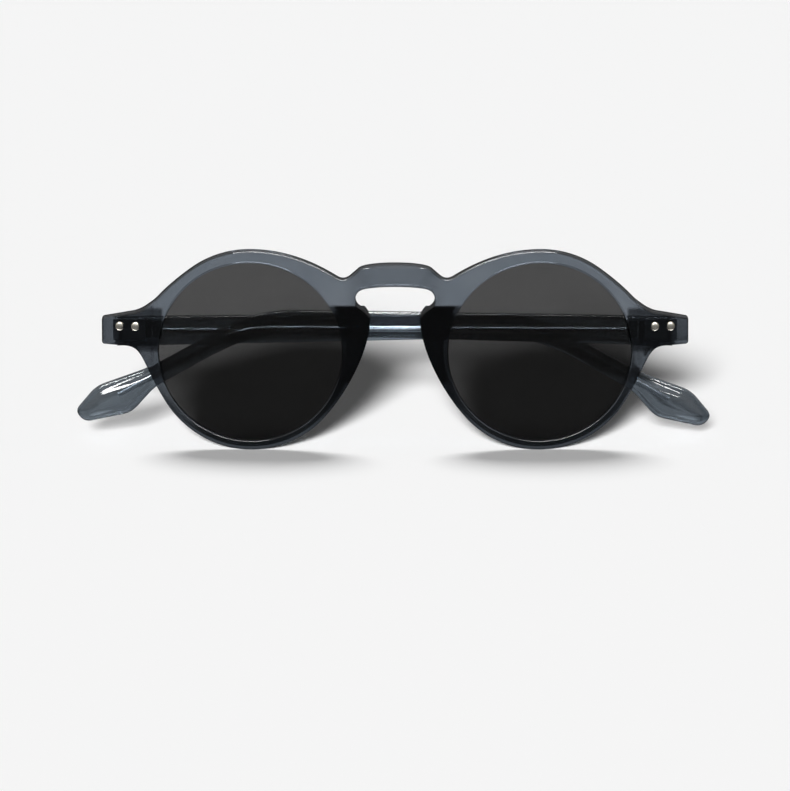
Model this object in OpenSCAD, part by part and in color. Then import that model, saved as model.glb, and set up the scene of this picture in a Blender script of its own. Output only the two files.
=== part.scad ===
// Round sunglasses with a keyhole bridge, standing on the rims with both temples folded.
// x runs across the front, y from the lenses towards the face, z up.

/* [Lenses] */
// Width of one lens, edge to edge
lens_w = 43; // [38:0.5:50]
// Height of one lens, edge to edge
lens_h = 41.8; // [38:0.2:46]
// Distance between the two lenses
lens_gap = 23; // [21:0.5:27]
// Thickness of the outer ply
outer_ply = 0.5; // [0.3:0.05:0.7]
// Thickness of the polarizing film
film_t = 0.1; // [0.05:0.01:0.2]
// Thickness of the inner ply
inner_ply = 0.5; // [0.3:0.05:0.7]
// Depth of the lens groove in the rim
groove = 0.5; // [0.3:0.05:0.8]
// Depth of the lens behind the front face of the rim
lens_set = 1.4; // [1:0.1:2]

/* [Front] */
// How far each end piece reaches out beyond the lens
end_reach = 12.4; // [11:0.1:14]
// Thickness of the rims
front_t = 4; // [3.4:0.1:5]
// Radius of the curve of the front, seen from above
face_r = 400; // [300:10:800]
// Height of the rim above the lens opening
rim_top = 2.9; // [2:0.1:4]
// Height of the rim below the lens opening
rim_bottom = 2; // [1.6:0.1:3]
// Height of the end pieces
end_h = 6.2; // [6:0.1:7]
// Height of the middle of the end pieces above the base of the rims
end_z = 26.9; // [26.7:0.1:27.3]
// Corner radius of the end pieces
end_corner = 0.7; // [0.3:0.1:1.5]
// Thickness of the end pieces behind the front face at the hinge
end_t = 4.2; // [3.6:0.1:5.5]

/* [Bridge] */
// Height of the top of the bridge above the base of the rims
bridge_z = 42.8; // [41.5:0.1:44]
// Height of the bridge bar at the middle
bridge_h = 5.2; // [4.4:0.1:6.5]
// Width of the keyhole opening
keyhole_w = 18; // [16:0.2:20]
// Radius of the round ends of the keyhole
keyhole_r = 2.1; // [1.6:0.1:2.3]
// Width of the narrowest part of the nose opening
nose_w = 11.2; // [10:0.2:13]
// How far the bridge bar stands out from the rims
bridge_raise = 0.8; // [0.4:0.1:1.5]
// Slant of the facets at the ends of the bridge bar
facet_angle = 28; // [15:1:40]
// Height of the slanted facet along the top of the bridge bar
bridge_facet = 0.9; // [0.4:0.1:1.5]

/* [Nose pads] */
// Height of the top of the nose pads above the base of the rims
pad_top = 33; // [32:0.2:34]
// Height of the nose pads
pad_h = 19; // [16:0.5:21]
// How far the nose pads stand out behind the rims
pad_depth = 5; // [3:0.1:5.3]
// How far the nose pads slant away from the nose
pad_slant = 20; // [10:1:30]

/* [Temples] */
// Length of the straight part, from the hinge to the bend
temple_straight = 97; // [92:0.5:100]
// Length of the part behind the bend
tip_l = 42.8; // [41:0.2:46]
// Angle of the bend behind the ear
bend_angle = 28.3; // [24:0.5:30]
// Height of the temple above the hinge's middle, at the butt
butt_up = 2.7; // [2.7:0.1:3.4]
// Height of the temple below the hinge's middle, at the butt
butt_down = 4; // [3.2:0.1:4.4]
// Height of the temple above the hinge's middle, at the bend
arm_up = 3.7; // [3.4:0.1:4]
// Height of the temple below the hinge's middle, at the bend
arm_down = 1.9; // [1.7:0.1:2.3]
// Height of the neck in front of the tip
neck_h = 4.2; // [3.6:0.1:4.8]
// Thickness of the temple at the hinge
temple_t = 3; // [2.8:0.05:3.2]
// Thickness of the temple at the tip
tip_t = 2.4; // [2:0.05:2.8]
// Width of the chamfers along the temple
chamfer = 0.5; // [0.4:0.05:0.55]
// Angle by which each temple is set off its hinge, so that the folded temples cross
cross_angle = 0.45; // [0:0.05:0.6]

/* [Hinges] */
// Distance of each hinge screw from the end of the front
hinge_in = 4.7; // [4.4:0.1:5]
// Height of the middle of the hinge above the base of the rims
hinge_z = 26.5; // [26.2:0.1:26.9]
// Radius of the knuckles
knuckle_r = 1.3; // [1.2:0.05:1.4]
// Distance from the back of the end piece to the middle of the screw
hinge_off = 1.6; // [1.5:0.05:1.8]
// Thickness of the leaves
leaf_t = 0.9; // [0.7:0.05:1.1]
// Height of the leaves, and of all five knuckles together
leaf_h = 4; // [3.8:0.1:4.2]
// Height of the front leaf above its rivets
leaf_edge = 1.2; // [0.9:0.1:1.5]
// Length of the leaves
leaf_l = 7.4; // [7:0.1:8]
// Angle that an open temple stands out past square
let_back = 4.5; // [2:0.5:6]
// Radius of the screw
screw_r = 0.6; // [0.5:0.05:0.7]
// Radius of the screw's head
screw_head_r = 1; // [0.9:0.05:1.2]
// Height of the screw's head
screw_head_h = 0.5; // [0.4:0.05:0.7]

/* [Rivets] */
// Distance from the end of the front to the middle between its two rivets
rivet_in = 5.9; // [5.7:0.1:6.2]
// Distance between the two rivets of a pair
rivet_gap = 3.6; // [3:0.1:4]
// Height of the front rivets above the base of the rims
rivet_z = 28; // [27.2:0.1:28.4]
// Radius of the rivets' heads
rivet_head_r = 0.9; // [0.7:0.05:1]
// Radius of the rivets' shanks
rivet_r = 0.55; // [0.4:0.05:0.6]
// Thickness of the rivets' heads
rivet_head_h = 0.5; // [0.4:0.05:0.7]

/* [Core wires] */
// Radius of the core wire
wire_r = 0.7; // [0.5:0.05:0.75]
// Radius of the wire's bend
wire_bend_r = 22; // [15:1:30]
// Distance from the end of the tip to the end of the wire
wire_end = 10.5; // [8:0.5:14]

/* [Hidden] */
$fn = 64;

// Clearances: pieces set in the frame, turning fits, knuckles side by side, folded temples
set_gap = 0.03;
turn_gap = 0.05;
knuckle_gap = 0.06;
fold_gap = 0.25;
butt_gap = 0.1;

left = 1;
right = -1;
acetate = [0.3, 0.34, 0.4, 0.9];
steel = [0.8, 0.8, 0.8];
tint = [0.2, 0.2, 0.2, 0.7];

// Rims: a round outside around a lens opening that is a little wider than tall
open_w = lens_w - 2 * groove;
open_h = lens_h - 2 * groove;
lens_x = (lens_gap + lens_w) / 2;
lens_z = rim_bottom + open_h / 2;
rim_r = (rim_bottom + open_h + rim_top) / 2;
rim_c = [lens_x, rim_r];
lens_t = outer_ply + film_t + inner_ply;
pad_back = front_t + pad_depth;
deep = 2 * pad_back + 2;
tall = bridge_z + 20;

// End pieces and hinges
end_x = lens_x + lens_w / 2 + end_reach;
hinge_x = end_x - hinge_in;
end_back = face_r - sqrt(face_r * face_r - hinge_x * hinge_x) + end_t;
hinge_y = end_back + hinge_off;

// Temple: s runs from the hinge along the temple, w is the distance behind the screw
temple_in = knuckle_r - 0.1;
temple_out = temple_in + temple_t;
butt_l = hinge_off - butt_gap;
reach = temple_straight + tip_l;
taper = (temple_t - tip_t) / reach;
lean = atan((temple_t + fold_gap) / (2 * hinge_x));

// The object's depth, from the bridge bar to the back of the outer temple's tip
tip_s = temple_straight + tip_l * cos(bend_angle);
depth_back = hinge_y + (temple_out - taper * tip_s) * cos(lean) + tip_s * sin(lean);
shift_y = -(depth_back - bridge_raise) / 2;

function bez(a, b, c, d, n = 16) = [
    for (i = [0:n]) let (t = i / n, u = 1 - t)
        u * u * u * a + 3 * u * u * t * b + 3 * u * t * t * c + t * t * t * d
];
function arc(c, r, from, to, n = 12) = [
    for (i = [0:n]) let (a = from + (to - from) * i / n) c + r * [cos(a), sin(a)]
];
function toward(p, q, d) = p + d * (q - p) / norm(q - p);
// A rounded corner at b, on the way from a to c, that starts r before it
function corner(a, b, c, r, n = 6) = [
    for (i = [0:n]) let (t = i / n, u = 1 - t)
        u * u * toward(b, a, r) + 2 * u * t * b + t * t * toward(b, c, r)
];
function flip(p) = [for (i = [len(p) - 1:-1:0]) [-p[i][0], p[i][1]]];
// Leaves out a point that lies on the next one
function distinct(p) = [for (i = [0:len(p) - 1]) if (norm(p[i] - p[(i + 1) % len(p)]) > 0.01) p[i]];
function oval(w, h, n = 96) = [for (i = [0:n - 1]) [w / 2 * cos(360 * i / n), h / 2 * sin(360 * i / n)]];

// Half of the front's outline: from the crown of the bridge over the rim, round the end piece,
// under the rim and up the side of the nose to the keyhole
crown = [keyhole_w / 2 - 0.7, bridge_z - 1.2];
notch = [keyhole_w / 2 + 2.6, bridge_z - 4.05];
notch_r = 1.9;
brow_way = notch + [7, 4.3];
brow = rim_c + [0, rim_r];
temporal_turn = 56;
shoulder = rim_c + rim_r * [cos(temporal_turn), sin(temporal_turn)];
slope = [0.684, -0.73];
waist = [end_x - 13.3, end_z + end_h / 2 + 5.25];
end_top = [end_x - 7.4, end_z + end_h / 2 + 1.25];
end_under = [end_x - 5.4, end_z - end_h / 2 - 0.35];
end_up = [end_x, end_z + end_h / 2];
end_low = [end_x, end_z - end_h / 2];
fillet_turn = -32;
armpit = rim_c + rim_r * [cos(fillet_turn), sin(fillet_turn)];
nasal_turn = -130;
nasal = rim_c + rim_r * [cos(nasal_turn), sin(nasal_turn)];
throat = [nose_w / 2, pad_top - 2.7];
key_c = [keyhole_w / 2 - keyhole_r, bridge_z - bridge_h - keyhole_r - 0.7];
key_in = -58;
key_out = 60;
key_low = key_c + keyhole_r * [cos(key_in), sin(key_in)];
key_high = key_c + keyhole_r * [cos(key_out), sin(key_out)];
front_half = concat(
    bez([0, bridge_z], [3.5, bridge_z], crown + [-1, 0.86], crown, 10),
    corner(crown, notch, brow_way, notch_r, 8),
    bez(toward(notch, brow_way, notch_r), brow_way, brow - [8, 0], brow),
    arc(rim_c, rim_r, 90, temporal_turn, 12),
    bez(shoulder, shoulder + 2.8 * [sin(temporal_turn), -cos(temporal_turn)], waist - 2.8 * slope, waist, 8),
    bez(waist, waist + 2.4 * slope, end_top + [-2.2, 0.5], end_top, 10),
    corner(end_top, end_up, end_low, end_corner),
    corner(end_up, end_low, end_under, end_corner),
    bez(end_under, end_under - [4.2, 0.25], armpit + 10.2 * [-sin(fillet_turn), cos(fillet_turn)], armpit),
    arc(rim_c, rim_r, fillet_turn, nasal_turn, 42),
    bez(nasal, nasal + 7 * [sin(nasal_turn), -cos(nasal_turn)], throat - [-0.2, 8.8], throat),
    bez(throat, throat + [0, 1.1], key_low - [1, 0.6], key_low, 6),
    arc(key_c, keyhole_r, key_in, key_out),
    bez(key_high, key_high + [-1.4, 0.8], [3, bridge_z - bridge_h], [0, bridge_z - bridge_h], 8)
);
front_outline = distinct(concat(front_half, flip(front_half)));

module across(h = deep) {
    translate([0, h, 0]) rotate([90, 0, 0]) linear_extrude(h) children();
}
module both_sides() {
    children();
    mirror([1, 0, 0]) children();
}
module on(side) {
    mirror([side < 0 ? 1 : 0, 0, 0]) children();
}
// The part of its child that lies between two depths behind the curved front face
module shell(from, thick) {
    intersection() {
        children();
        translate([0, face_r, -1]) difference() {
            cylinder(r = face_r - from, h = tall, $fn = 360);
            translate([0, 0, -1]) cylinder(r = face_r - from - thick, h = tall + 2, $fn = 360);
        }
    }
}
module behind(from) {
    intersection() {
        children();
        translate([0, face_r, -1]) cylinder(r = face_r - from, h = tall, $fn = 360);
    }
}

module lens_2d(grow = 0) {
    translate([lens_x, lens_z]) polygon(oval(lens_w + 2 * grow, lens_h + 2 * grow));
}
module lens_layer(side, from, thick) {
    on(side) shell(lens_set + from, thick) across() lens_2d();
}

// The raised bar of the bridge: slanted facets at its ends and along its top
module bridge_bar() {
    bar_x = keyhole_w / 2 - 0.9;
    difference() {
        translate([0, -bridge_raise, 0]) across(bridge_raise + 1) intersection() {
            polygon(front_outline);
            translate([-bar_x - 3.2, bridge_z - bridge_h - 1.2]) square([2 * bar_x + 6.4, bridge_h + 2]);
        }
        both_sides() translate([bar_x, -bridge_raise, bridge_z - bridge_h / 2])
            rotate([0, facet_angle, 0]) rotate([0, 0, -22 * bridge_raise - 2])
            translate([0, 0, -10]) mirror([0, 1, 0]) cube([12, 10, 20]);
        translate([-20, -bridge_raise, bridge_z - bridge_facet]) rotate([40, 0, 0])
            translate([0, -10, 0]) cube([40, 10, 10]);
    }
}
// The thick part of an end piece, which the hinge leaf is let into
block_l = 11;
block_low = end_z - end_h / 2 - 3.6;
module end_block() {
    behind(1) across(end_back) intersection() {
        polygon(front_outline);
        translate([end_x - block_l, block_low]) square([block_l + 1, tall]);
    }
}
module front_frame() {
    color(acetate) difference() {
        union() {
            shell(0, front_t) across() polygon(front_outline);
            both_sides() end_block();
            bridge_bar();
        }
        both_sides() {
            translate([hinge_x, end_back, 0]) cube([deep, deep, tall]);
            translate([0, -1, 0]) across() translate([lens_x, lens_z]) polygon(oval(open_w, open_h));
            shell(lens_set - set_gap, lens_t + 2 * set_gap) across() lens_2d(set_gap);
            front_leaf_plate(set_gap);
            for (at = [-1, 1]) front_rivet_body(at, set_gap);
        }
    }
}

// Nose pad: the nasal side of the rim, carried back and slanted away from the nose
module nose_pad(side) {
    color(acetate) on(side) difference() {
        behind(front_t) rotate([90, 0, 90]) linear_extrude(lens_x) polygon(concat(
            [[front_t - 2, pad_top]],
            corner([front_t, pad_top], [pad_back, pad_top - 1], [pad_back, lens_z], 2.2),
            bez([pad_back, lens_z + 3], [pad_back, lens_z - 3],
                [front_t + 2, pad_top - pad_h + 2], [front_t - 2, pad_top - pad_h], 8)
        ));
        across() difference() {
            square([lens_x + 1, tall]);
            difference() {
                polygon(front_outline);
                lens_2d(groove);
            }
        }
        translate([nose_w / 2, front_t, -1]) rotate([0, 0, -pad_slant]) mirror([1, 0, 0])
            cube([deep, deep, tall]);
    }
}

// Front leaf: a plate let into the back of the end piece, with three of the five knuckles
knuckle_h = (leaf_h - 4 * knuckle_gap) / 5;
knuckle_pitch = knuckle_h + knuckle_gap;
knuckle_low = hinge_z - leaf_h / 2;
leaf_past = 2;
web_w = 1.8;
module front_leaf_plate(grow = 0) {
    translate([hinge_x + leaf_past - leaf_l - grow, end_back - leaf_t - grow, knuckle_low - grow])
        cube([leaf_l + 2 * grow, leaf_t + 2 * grow, rivet_z + leaf_edge - knuckle_low + 2 * grow]);
}
module knuckle(i, hole) {
    translate([0, 0, knuckle_low + i * knuckle_pitch]) difference() {
        cylinder(r = knuckle_r, h = knuckle_h);
        translate([0, 0, -1]) cylinder(r = hole, h = knuckle_h + 2);
    }
}
module front_hinge(side) {
    color(steel) on(side) difference() {
        union() {
            front_leaf_plate();
            for (i = [0, 2, 4]) {
                translate([hinge_x, hinge_y, 0]) knuckle(i, screw_r + set_gap);
                translate([hinge_x - web_w / 2, end_back - 0.1, knuckle_low + i * knuckle_pitch])
                    cube([web_w, hinge_off - screw_r, knuckle_h]);
            }
        }
        for (at = [-1, 1]) front_rivet_body(at, set_gap);
    }
}
module front_rivet_body(at, grow = 0) {
    x = end_x - rivet_in + at * rivet_gap / 2;
    face = face_r - sqrt(face_r * face_r - x * x) - 0.1;
    translate([x, face - (grow > 0 ? 1 : 0), rivet_z]) rotate([-90, 0, 0])
        cylinder(r = rivet_head_r + grow, h = rivet_head_h + (grow > 0 ? 1 : 0) + grow);
    translate([x, face, rivet_z]) rotate([-90, 0, 0])
        cylinder(r = rivet_r + grow, h = end_back - face + grow);
}
module front_rivet(side, at) {
    color(steel) on(side) front_rivet_body(at);
}
module hinge_screw(side) {
    top = knuckle_low + leaf_h;
    color(steel) on(side) translate([hinge_x, hinge_y, 0]) difference() {
        union() {
            translate([0, 0, knuckle_low]) cylinder(r = screw_r, h = leaf_h);
            translate([0, 0, top]) cylinder(r = screw_head_r, h = screw_head_h);
        }
        translate([-2, -0.15, top + screw_head_h - 0.25]) cube([4, 0.3, 1]);
    }
}

// Temple outline in s and z: a gentle arm, a bend, a neck and a faceted paddle
along = [cos(bend_angle), -sin(bend_angle)];
upward = [sin(bend_angle), cos(bend_angle)];
bend_at = [temple_straight, hinge_z - 0.5];
function tip(u, v) = bend_at + u * along + v * upward;
arm_top = [temple_straight - 13, hinge_z + arm_up];
arm_low = [temple_straight - 13, hinge_z - arm_down];
butt_top = [-butt_l, hinge_z + butt_up];
butt_low = [-butt_l, hinge_z - butt_down];
tip_outline = [
    tip(tip_l - 19.5, neck_h / 2), tip(tip_l - 6.9, neck_h / 2 + 1.9),
    tip(tip_l + 0.1, 1.2), tip(tip_l - 0.7, -2.1),
    tip(tip_l - 11.2, -neck_h / 2 - 3.1), tip(tip_l - 18.6, -neck_h / 2 - 0.4),
    tip(tip_l - 24, -neck_h / 2)
];
temple_outline = distinct(concat(
    [butt_top],
    bez(arm_top, arm_top + [11, 0.4], tip(4, neck_h / 2), tip(9, neck_h / 2)),
    corner(tip(9, neck_h / 2), tip_outline[0], tip_outline[1], 3),
    corner(tip_outline[0], tip_outline[1], tip_outline[2], 2.2),
    corner(tip_outline[1], tip_outline[2], tip_outline[3], 1.6),
    corner(tip_outline[2], tip_outline[3], tip_outline[4], 1.6),
    corner(tip_outline[3], tip_outline[4], tip_outline[5], 2),
    corner(tip_outline[4], tip_outline[5], tip_outline[6], 2),
    bez(tip(tip_l - 31, -neck_h / 2), tip(4, -neck_h / 2), arm_low + [10, 0.6], arm_low),
    [butt_low]
));
// The temple seen from above: tapered, with its butt cut to meet the end piece when it is open
function butt_s(w) = (w * sin(let_back) - butt_l) / cos(let_back);
temple_plan = [
    [butt_s(temple_in), temple_in], [reach, temple_in], [reach, temple_out - taper * reach],
    [butt_s(temple_out), temple_out]
];

// Puts a temple's piece, drawn with s and w as x and y, at the hinge of one side, folded
module folded(side) {
    translate([side * hinge_x, hinge_y, 0]) rotate([0, 0, lean]) on(-side) children();
}
// Sets a temple's acetate and its core wire off the hinge: the left tip goes up, the right one down
module crossed(side) {
    translate([0, 0, hinge_z]) rotate([0, -side * cross_angle, 0]) translate([0, 0, -hinge_z]) children();
}
// A bar that cuts a chamfer along the edge from p to q, at the depth w
module edge_cut(p, q, w_p, w_q) {
    run = norm(q - p);
    side = chamfer * sqrt(2);
    translate([p[0], w_p, p[1]]) rotate([0, -atan2(q[1] - p[1], q[0] - p[0]), 0])
        rotate([0, 0, atan2(w_q - w_p, run)]) rotate([45, 0, 0])
        translate([0, -side / 2, -side / 2]) cube([run, side, side]);
}
module temple_body() {
    function out(s) = temple_out - taper * s;
    difference() {
        intersection() {
            across() polygon(temple_outline);
            linear_extrude(tall) polygon(temple_plan);
        }
        for (edge = [[butt_top, arm_top], [butt_low, arm_low], [tip(8, neck_h / 2), tip_outline[0]]]) {
            from = toward(edge[0], edge[1], -2);
            to = toward(edge[1], edge[0], chamfer);
            edge_cut(from, to, out(from[0]), out(to[0]));
            edge_cut(from, to, temple_in, temple_in);
        }
    }
}
// The bend is a touch thinner than the straight parts, which lap over its ends
bend_thinner = 0.01;
module wire_path(r, long = 0) {
    mid_w = temple_in + temple_t / 2 - 0.1;
    straight = temple_straight - wire_bend_r * tan(bend_angle / 2);
    start = temple_leaf_s + leaf_l + 0.3;
    lap = wire_r / 3;
    translate([start - long, mid_w, bend_at[1]]) rotate([0, 90, 0])
        cylinder(r = r, h = straight - start + long + lap);
    translate([straight, mid_w, bend_at[1] - wire_bend_r]) rotate([90, 0, 0]) rotate([0, 0, 90 - bend_angle])
        rotate_extrude(angle = bend_angle) translate([wire_bend_r, 0]) circle(r = r - bend_thinner);
    translate([bend_at[0], mid_w, bend_at[1]]) rotate([0, 90 + bend_angle, 0])
        translate([0, 0, wire_bend_r * tan(bend_angle / 2) - lap])
        cylinder(r = r, h = tip_l - wire_end - wire_bend_r * tan(bend_angle / 2) + lap + long);
}
// Temple leaf: a plate let into the inner face of the temple, with the other two knuckles
temple_leaf_s = 1.5;
module temple_leaf_plate(grow = 0) {
    open = grow > 0 ? 1 : 0;
    translate([temple_leaf_s - grow, temple_in - open, hinge_z - leaf_h / 2 - grow])
        cube([leaf_l + 2 * grow, leaf_t + open + grow, leaf_h + 2 * grow]);
}
module temple_webs(i, grow = 0) {
    translate([0, screw_r + 0.1, knuckle_low + i * knuckle_pitch - grow])
        cube([web_w + grow, temple_in - screw_r + 0.2 + grow, knuckle_h + 2 * grow]);
}
function rivet_s(at) = temple_leaf_s + leaf_l / 2 + at * rivet_gap / 2;
module temple_rivet_body(at, grow = 0) {
    s = rivet_s(at);
    open = grow > 0 ? 1 : 0;
    out = temple_out - taper * s - 0.02;
    translate([s, temple_in - open, hinge_z]) rotate([-90, 0, 0])
        cylinder(r = rivet_r + grow, h = out - temple_in + open);
    translate([s, out - rivet_head_h - grow, hinge_z]) rotate([-90, 0, 0])
        cylinder(r = rivet_head_r + grow, h = rivet_head_h + grow + open);
}
module temple(side) {
    color(acetate) folded(side) difference() {
        crossed(side) temple_body();
        temple_leaf_plate(set_gap);
        cylinder(r = knuckle_r + 3 * turn_gap, h = tall);
        for (i = [1, 3]) temple_webs(i, set_gap);
        crossed(side) wire_path(wire_r + set_gap, set_gap);
        for (at = [-1, 1]) temple_rivet_body(at, set_gap);
    }
}
module temple_hinge(side) {
    color(steel) folded(side) difference() {
        union() {
            temple_leaf_plate();
            for (i = [1, 3]) {
                knuckle(i, screw_r + turn_gap);
                temple_webs(i);
            }
        }
        for (at = [-1, 1]) temple_rivet_body(at, set_gap);
    }
}
module temple_rivet(side, at) {
    color(steel) folded(side) temple_rivet_body(at);
}
module core_wire(side) {
    color(steel) folded(side) crossed(side) wire_path(wire_r);
}

module placed() {
    translate([0, shift_y, 0]) children();
}

placed() front_frame();
placed() nose_pad(left);  // nose_pad_left
placed() nose_pad(right);  // nose_pad_right
placed() color(tint) lens_layer(left, 0, outer_ply);  // lens_left_outer_ply
placed() color(tint) lens_layer(left, outer_ply, film_t);  // lens_left_film
placed() color(tint) lens_layer(left, outer_ply + film_t, inner_ply);  // lens_left_inner_ply
placed() color(tint) lens_layer(right, 0, outer_ply);  // lens_right_outer_ply
placed() color(tint) lens_layer(right, outer_ply, film_t);  // lens_right_film
placed() color(tint) lens_layer(right, outer_ply + film_t, inner_ply);  // lens_right_inner_ply
placed() front_hinge(left);  // front_hinge_left
placed() front_hinge(right);  // front_hinge_right
placed() front_rivet(left, -1);  // front_rivet_left_inner
placed() front_rivet(left, 1);  // front_rivet_left_outer
placed() front_rivet(right, -1);  // front_rivet_right_inner
placed() front_rivet(right, 1);  // front_rivet_right_outer
placed() hinge_screw(left);  // hinge_screw_left
placed() hinge_screw(right);  // hinge_screw_right
placed() temple(left);  // temple_left
placed() temple(right);  // temple_right
placed() temple_hinge(left);  // temple_hinge_left
placed() temple_hinge(right);  // temple_hinge_right
placed() core_wire(left);  // core_wire_left
placed() core_wire(right);  // core_wire_right
placed() temple_rivet(left, -1);  // temple_rivet_left_front
placed() temple_rivet(left, 1);  // temple_rivet_left_rear
placed() temple_rivet(right, -1);  // temple_rivet_right_front
placed() temple_rivet(right, 1);  // temple_rivet_right_rear
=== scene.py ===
import math

import bmesh
import bpy
from mathutils import Matrix, Vector


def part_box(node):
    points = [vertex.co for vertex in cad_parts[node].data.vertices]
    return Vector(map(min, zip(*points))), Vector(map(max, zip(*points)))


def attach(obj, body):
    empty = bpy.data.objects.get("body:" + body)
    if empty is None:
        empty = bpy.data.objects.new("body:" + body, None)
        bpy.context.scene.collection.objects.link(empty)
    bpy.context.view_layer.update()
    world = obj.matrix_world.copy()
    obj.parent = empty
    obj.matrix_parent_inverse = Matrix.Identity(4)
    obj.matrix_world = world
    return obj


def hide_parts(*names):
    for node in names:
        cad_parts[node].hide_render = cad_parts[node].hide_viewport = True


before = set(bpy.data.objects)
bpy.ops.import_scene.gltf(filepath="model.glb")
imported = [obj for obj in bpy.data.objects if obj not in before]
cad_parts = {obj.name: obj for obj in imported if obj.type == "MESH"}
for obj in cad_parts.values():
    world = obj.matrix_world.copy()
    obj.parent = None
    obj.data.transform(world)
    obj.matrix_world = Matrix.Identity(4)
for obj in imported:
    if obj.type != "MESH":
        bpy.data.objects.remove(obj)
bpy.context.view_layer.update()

mm = 0.001  # sizes are in millimetres unless a note says metres

# Sizes of the pieces. All but the rounding, the lens's ridge and the paddle's dome are the solids' own
frontSizes = {
    "width": 133.8,
    "thickness": 4.0,
    "faceRadius": 400.0,  # the front curves round the face
    "rimTop": 2.9,
    "rimBottom": 2.0,
    "endHeight": 6.2,
    "endMiddle": 26.9,
    "endCorner": 0.7,
    "endBehindFace": 4.2,
    "blockBelow": 3.6,  # how far the thick part of the end piece reaches below its end
    "blockEase": (2.0, 0.5),  # below and above that, where its back eases in
    "blockLines": (54.6, 55.1, 55.6, 56.2, 60, 64),  # the back turns flat from the first to the fourth
    "blockLevels": (17.7, 18.6, 19.4, 20.2),
    "edgeRound": 0.55,  # tumbled edge of the acetate
    "openingRound": 0.22,
    "lensRidge": 0.12,  # round the opening, where it holds the lens and hides its edge
}
bridgeSizes = {
    "top": 42.8,
    "height": 5.2,
    "keyholeWidth": 18.0,
    "keyholeRound": 2.1,
    "noseWidth": 11.2,
    "raise": 0.8,  # how far the bar stands out
    "barHalf": 6.6,
    "facetRun": 2.2,
    "facetLean": 28.0,
    "facetReach": 4.0,  # how far the facets reach below the bar's middle
    "topFacet": 0.9,
    "topFacetSlope": 1.1,
}
lensSizes = {
    "width": 43.0,
    "height": 41.8,
    "apart": 23.0,
    "groove": 0.5,
    "setBack": 1.4,
    "thickness": 1.1,
}
padSizes = {"top": 33.0, "round": 0.45, "sharp": 38.0}
templeSizes = {
    "straight": 97.0,
    "tip": 42.8,
    "bend": 28.3,
    "bendEase": 13.0,  # how far ahead of the bend the arm starts to narrow
    "bendBelow": 0.5,
    "buttUp": 2.7,
    "buttDown": 4.0,
    "armUp": 3.7,
    "armDown": 1.9,
    "neck": 4.2,
    "thickness": 3.0,
    "tipThickness": 2.4,
    "foldGap": 0.25,  # air between the folded temples
    "cross": 0.45,  # the folded temples cross by twice this angle
    "buttGap": 0.1,  # air between the butt and the end piece when open
    "buttEase": 6.0,  # over this length the butt's slanted end eases out
    "armRound": 0.5,
    "paddleStart": (15.0, 27.0),  # behind the bend, where the paddle's own rounding fades in
    "paddleRoundTall": 0.9,
    "paddleRoundDeep": 0.55,
    "paddleDome": 0.8,  # how far the inner face sinks from the paddle's middle to its edge
}
hingeSizes = {
    "apart": 124.4,
    "height": 26.5,
    "knuckle": 1.3,
    "intoTemple": 0.1,  # how far the knuckles reach past the temple's inner face
    "offset": 1.6,
    "letBack": 4.5,  # degrees that the butt's end slants
    "leafProud": 0.04,  # how far the leaves stand out of the acetate
}

fs, bs, ls, ts, hs = frontSizes, bridgeSizes, lensSizes, templeSizes, hingeSizes
openWide = ls["width"] - 2 * ls["groove"]
openTall = ls["height"] - 2 * ls["groove"]
lensX = (ls["apart"] + ls["width"]) / 2
lensZ = fs["rimBottom"] + openTall / 2
rimRadius = (fs["rimBottom"] + openTall + fs["rimTop"]) / 2
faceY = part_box("front_frame")[0].y / mm + bs["raise"]  # where the rims' front face is
hingeX = hs["apart"] / 2
endBack = fs["faceRadius"] - math.sqrt(fs["faceRadius"] ** 2 - hingeX ** 2) + fs["endBehindFace"]
hingeY = endBack + hs["offset"]
lean = math.degrees(math.atan((ts["thickness"] + ts["foldGap"]) / hs["apart"]))
templeIn = hs["knuckle"] - hs["intoTemple"]
templeButt = ts["buttGap"] - hs["offset"]
profileStart = 1.15  # the first loop of a rounded edge lies this share of its radius in


def point(x, z):
    return Vector((x, z))


def bezier(a, b, c, d, steps=16):
    out = []
    for i in range(steps + 1):
        t = i / steps
        u = 1 - t
        out.append(u * u * u * a + 3 * u * u * t * b + 3 * u * t * t * c + t * t * t * d)
    return out


def arcPoints(centre, radius, start, stop, steps=12):
    turns = [math.radians(start + (stop - start) * i / steps) for i in range(steps + 1)]
    return [centre + radius * point(math.cos(t), math.sin(t)) for t in turns]


def toward(p, q, distance):
    return p + distance * (q - p).normalized()


def roundCorner(a, b, c, radius, steps=6):
    out = []
    for i in range(steps + 1):
        t = i / steps
        u = 1 - t
        out.append(u * u * toward(b, a, radius) + 2 * u * t * b + t * t * toward(b, c, radius))
    return out


def withoutDoubles(points, least=0.02):
    return [p for i, p in enumerate(points) if (p - points[(i + 1) % len(points)]).length > least]


# Corners of the outline as steps, x and z, from a corner of the piece they belong to
outlineSteps = {
    "crown": (-0.7, -1.2),  # from the keyhole's side and the bridge's top
    "notch": (2.6, -4.05),
    "waist": (-13.3, 5.25),  # from the end piece's upper corner
    "shoulder": (-7.4, 1.25),
    "under": (-5.4, -0.35),  # from its lower corner
}
outlineTurns = {"temporal": 56, "fillet": -32, "nasal": -130}  # where it meets the rim's circle
notchRound = 1.9


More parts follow.
